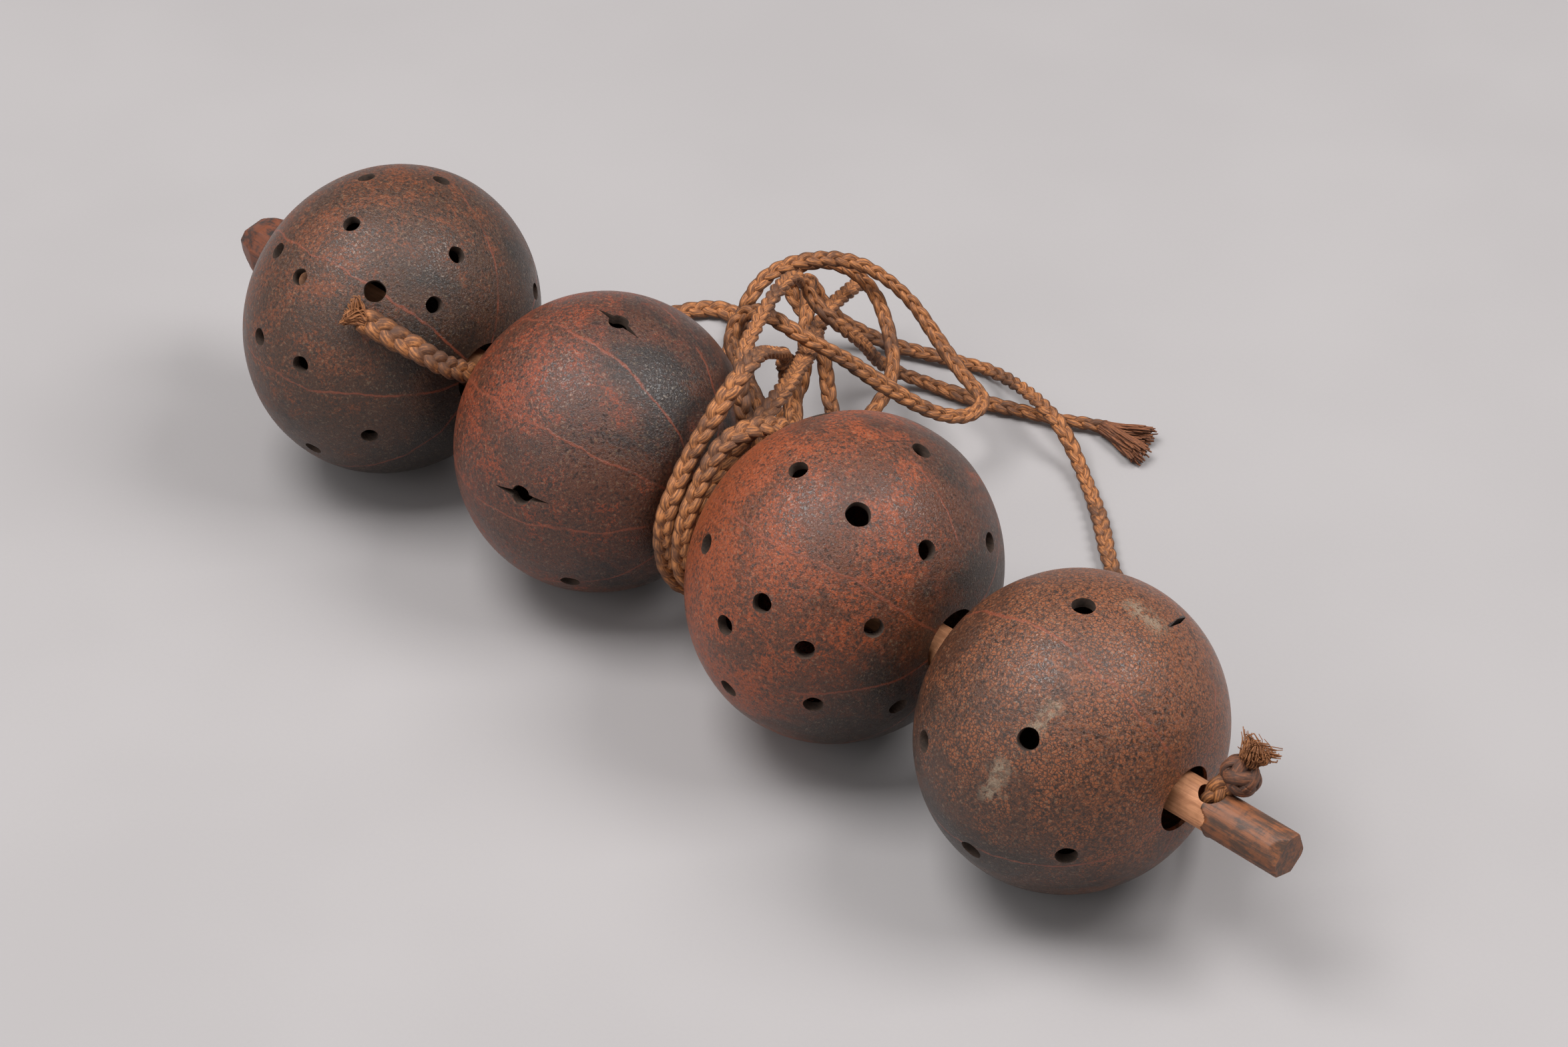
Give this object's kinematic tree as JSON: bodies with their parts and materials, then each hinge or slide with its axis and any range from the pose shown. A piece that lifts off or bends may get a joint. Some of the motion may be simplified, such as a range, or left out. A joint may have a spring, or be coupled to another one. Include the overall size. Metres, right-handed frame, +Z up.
{
  "type": "stick rattle",
  "caption": "Stick rattle: hollow bored fruit shells strung loosely on a whittled stick with a carved knob, with loose seeds inside and plaited fibre ties.",
  "frame": {"origin": "on the table under the middle of the stick and of the shells' width", "axes": "+X along the stick from the carved knob to the free end, +Z up, +Y towards the loose ties"},
  "size_m": [0.2614, 0.1344, 0.062],
  "materials": {
    "fruit_shell_1": "satin, worn",
    "fruit_shell_2": "satin, worn",
    "fruit_shell_3": "satin, worn",
    "fruit_shell_4": "satin, crazed",
    "whittled_wood": "matte",
    "seed": "satin",
    "plait": "matte fibre",
    "fray": "matte fibre"
  },
  "bodies": {
    "stick": {"stick": "whittled_wood", "far_cord": "plait", "near_cord": "plait", "stub_fray": "fray", "free_end": "plait", "tassel": "fray", "stopper_knot": "plait", "tuft": "fray"},
    "shell_1": {"shell_1": "fruit_shell_1"},
    "seeds_1": {"seed_1_1": "seed", "seed_1_2": "seed", "seed_1_3": "seed", "seed_1_4": "seed", "seed_1_5": "seed", "seed_1_6": "seed"},
    "shell_2": {"shell_2": "fruit_shell_2"},
    "seeds_2": {"seed_2_1": "seed", "seed_2_2": "seed", "seed_2_3": "seed", "seed_2_4": "seed", "seed_2_5": "seed", "seed_2_6": "seed"},
    "shell_3": {"shell_3": "fruit_shell_3"},
    "seeds_3": {"seed_3_1": "seed", "seed_3_2": "seed", "seed_3_3": "seed", "seed_3_4": "seed", "seed_3_5": "seed", "seed_3_6": "seed"},
    "shell_4": {"shell_4": "fruit_shell_4"},
    "seeds_4": {"seed_4_1": "seed", "seed_4_2": "seed", "seed_4_3": "seed", "seed_4_4": "seed", "seed_4_5": "seed", "seed_4_6": "seed"}
  },
  "joints": [
    {"name": "shell_1_spin", "type": "hinge", "parent": "stick", "child": "shell_1", "pos_m": [-0.0885, -0.0013, 0.031], "axis": [1, 0, 0], "continuous": true},
    {"name": "seeds_1_rise", "type": "slide", "parent": "shell_1", "child": "seeds_1", "axis": [0, 0, 1], "range_m": [0, 0.014]},
    {"name": "shell_2_spin", "type": "hinge", "parent": "stick", "child": "shell_2", "pos_m": [-0.033, 0.001, 0.029], "axis": [1, 0, 0], "continuous": true},
    {"name": "seeds_2_rise", "type": "slide", "parent": "shell_2", "child": "seeds_2", "axis": [0, 0, 1], "range_m": [0, 0.014]},
    {"name": "shell_3_spin", "type": "hinge", "parent": "stick", "child": "shell_3", "pos_m": [0.0287, 0.0013, 0.031], "axis": [1, 0, 0], "continuous": true},
    {"name": "seeds_3_rise", "type": "slide", "parent": "shell_3", "child": "seeds_3", "axis": [0, 0, 1], "range_m": [0, 0.014]},
    {"name": "shell_4_spin", "type": "hinge", "parent": "stick", "child": "shell_4", "pos_m": [0.0838, -0.0006, 0.029], "axis": [1, 0, 0], "continuous": true},
    {"name": "seeds_4_rise", "type": "slide", "parent": "shell_4", "child": "seeds_4", "axis": [0, 0, 1], "range_m": [0, 0.014]}
  ]
}
